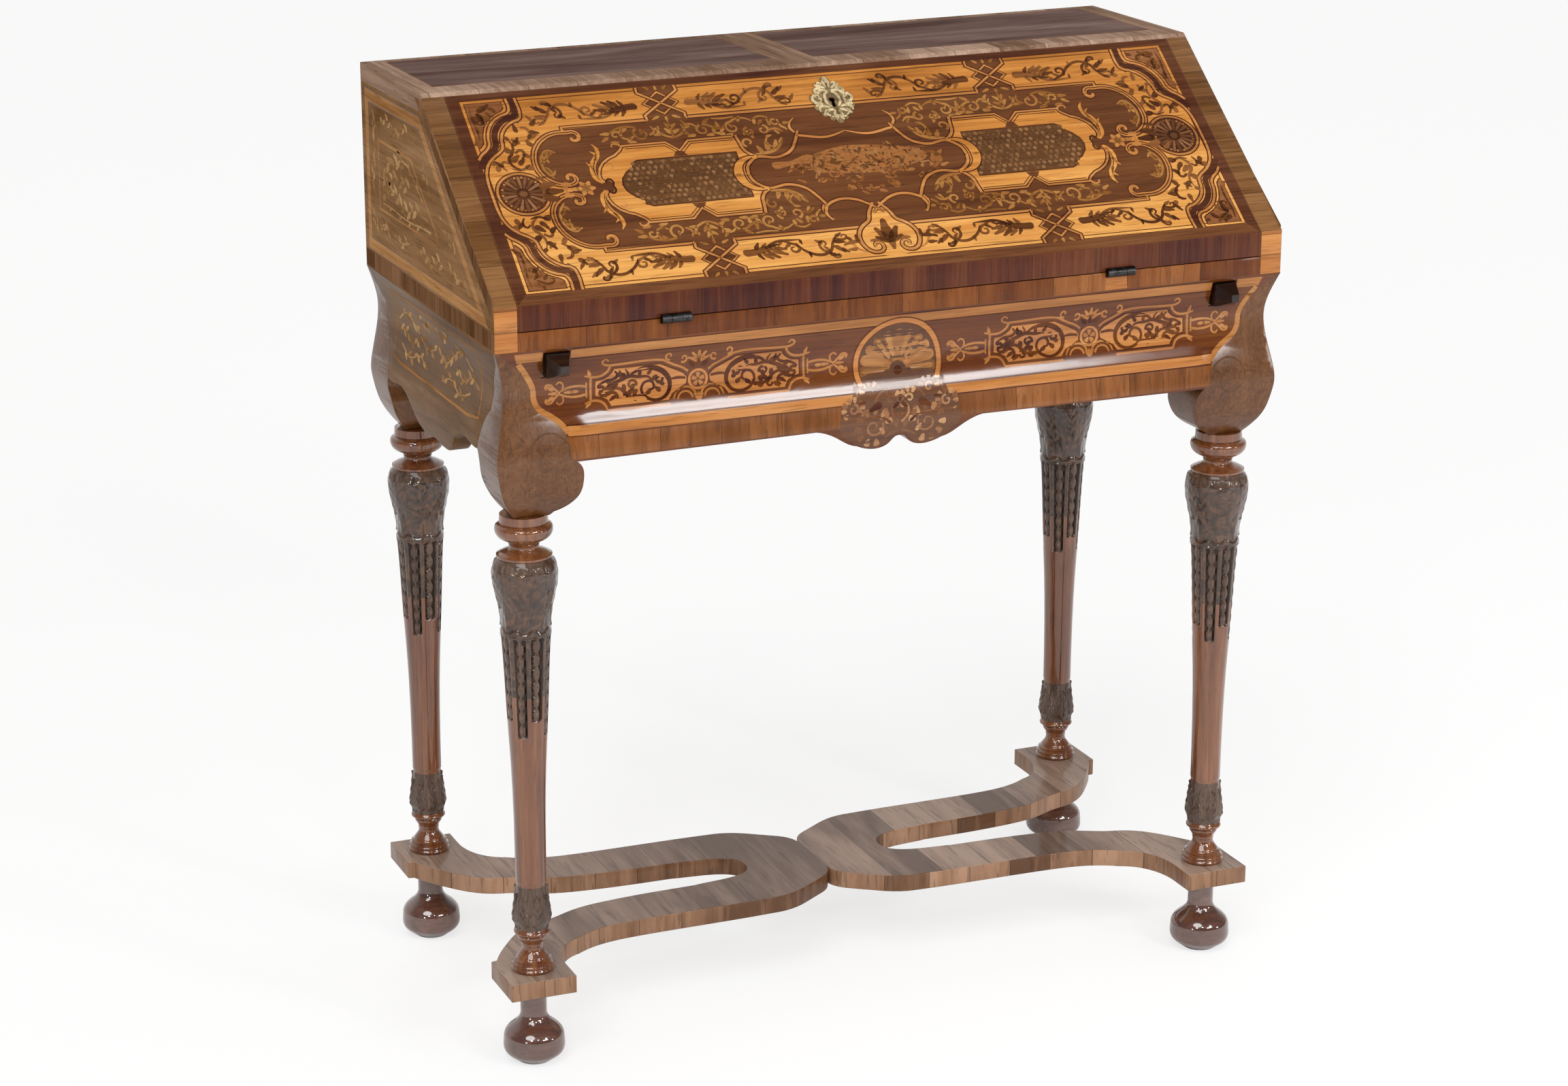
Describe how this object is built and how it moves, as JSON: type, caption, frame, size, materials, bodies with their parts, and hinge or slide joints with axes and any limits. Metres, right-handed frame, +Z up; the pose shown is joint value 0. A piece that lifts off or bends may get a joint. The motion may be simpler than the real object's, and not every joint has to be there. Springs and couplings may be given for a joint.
{
  "type": "slant-front desk",
  "caption": "Slant-front writing desk with a hinged inlaid fall, sliding lopers, fitted interior with drawers and a well, on turned legs with a flat curved stretcher.",
  "frame": {"origin": "on the floor, at the middle of the desk's overall width and depth", "axes": "+X is the user's right, +Y runs from the front to the back, +Z is up"},
  "size_m": [0.85, 0.4424, 0.9719],
  "materials": {
    "walnut_veneer": "French-polished walnut veneer",
    "side_veneer": "polished walnut veneer with light stringing",
    "rail_veneer": "polished crossbanded veneer",
    "inlaid_front": "polished walnut veneer inlaid with light and dark woods",
    "burr_veneer": "polished burr walnut veneer",
    "turned_walnut": "polished turned and carved walnut",
    "dark_turned": "dark polished turned wood",
    "stretcher_veneer": "polished walnut veneer with crossbanded edges",
    "inner_walnut": "satin walnut",
    "drawer_veneer": "polished walnut veneer with a light string",
    "oak_bar": "plain planed oak",
    "pine_board": "planed pine, stained with age",
    "black_wood": "ebonised hardwood",
    "dark_steel": "dark polished steel",
    "gilt_brass": "pale gilt cast brass"
  },
  "bodies": {
    "case": {"top_board": "walnut_veneer", "case_side_right": "side_veneer", "case_side_left": "side_veneer", "back_panel": "pine_board", "front_rail": "rail_veneer", "writing_board": "inner_walnut", "case_bottom": "pine_board", "front_frieze": "inlaid_front", "side_frieze_right": "side_veneer", "side_frieze_left": "side_veneer", "back_rail": "pine_board", "stretcher": "stretcher_veneer", "loper_guide_left": "pine_board", "loper_guide_right": "pine_board", "strike_plate": "dark_steel", "pigeonhole_shelves": "inner_walnut", "hinge_case_leaves": "dark_steel", "hinge_pins": "dark_steel", "hinge_case_screws": "dark_steel", "corner_block_front_left": "burr_veneer", "leg_front_left": "turned_walnut", "foot_front_left": "dark_turned", "corner_block_front_right": "burr_veneer", "leg_front_right": "turned_walnut", "foot_front_right": "dark_turned", "corner_block_back_left": "burr_veneer", "leg_back_left": "turned_walnut", "foot_back_left": "dark_turned", "corner_block_back_right": "burr_veneer", "leg_back_right": "turned_walnut", "foot_back_right": "dark_turned", "pigeonhole_upright_1": "inner_walnut", "pigeonhole_upright_2": "inner_walnut", "pigeonhole_upright_3": "inner_walnut"},
    "fall": {"fall_front": "inlaid_front", "hinge_fall_leaves": "dark_steel", "hinge_fall_screws": "dark_steel", "lock_case": "dark_steel", "escutcheon": "gilt_brass", "escutcheon_pins": "gilt_brass"},
    "bolt": {"lock_bolt": "dark_steel"},
    "loper_left_bar": {"loper_left": "oak_bar", "loper_pull_left": "black_wood"},
    "loper_right_bar": {"loper_right": "oak_bar", "loper_pull_right": "black_wood"},
    "well_lid": {"well_cover": "inner_walnut"},
    "drawer_1": {"drawer_front_1": "drawer_veneer", "drawer_tray_1": "oak_bar", "drawer_knob_1": "gilt_brass"},
    "drawer_2": {"drawer_front_2": "drawer_veneer", "drawer_tray_2": "oak_bar", "drawer_knob_2": "gilt_brass"},
    "drawer_3": {"drawer_front_3": "drawer_veneer", "drawer_tray_3": "oak_bar", "drawer_knob_3": "gilt_brass"},
    "drawer_4": {"drawer_front_4": "drawer_veneer", "drawer_tray_4": "oak_bar", "drawer_knob_4": "gilt_brass"}
  },
  "joints": [
    {"name": "fall_hinge", "type": "hinge", "parent": "case", "child": "fall", "pos_m": [0, -0.20175, 0.7755], "axis": [1, 0, 0], "range_deg": [0, 142]},
    {"name": "bolt_throw", "type": "slide", "parent": "fall", "child": "bolt", "axis": [0, 0.7837, 0.6211], "range_m": [0, 0.008]},
    {"name": "loper_left_slide", "type": "slide", "parent": "case", "child": "loper_left_bar", "axis": [0, -1, 0], "range_m": [0, 0.25]},
    {"name": "loper_right_slide", "type": "slide", "parent": "case", "child": "loper_right_bar", "axis": [0, -1, 0], "range_m": [0, 0.25]},
    {"name": "well_cover_slide", "type": "slide", "parent": "case", "child": "well_lid", "axis": [0, 1, 0], "range_m": [0, 0.11]},
    {"name": "drawer_1_slide", "type": "slide", "parent": "case", "child": "drawer_1", "axis": [0, -1, 0], "range_m": [0, 0.15]},
    {"name": "drawer_2_slide", "type": "slide", "parent": "case", "child": "drawer_2", "axis": [0, -1, 0], "range_m": [0, 0.15]},
    {"name": "drawer_3_slide", "type": "slide", "parent": "case", "child": "drawer_3", "axis": [0, -1, 0], "range_m": [0, 0.15]},
    {"name": "drawer_4_slide", "type": "slide", "parent": "case", "child": "drawer_4", "axis": [0, -1, 0], "range_m": [0, 0.15]}
  ]
}
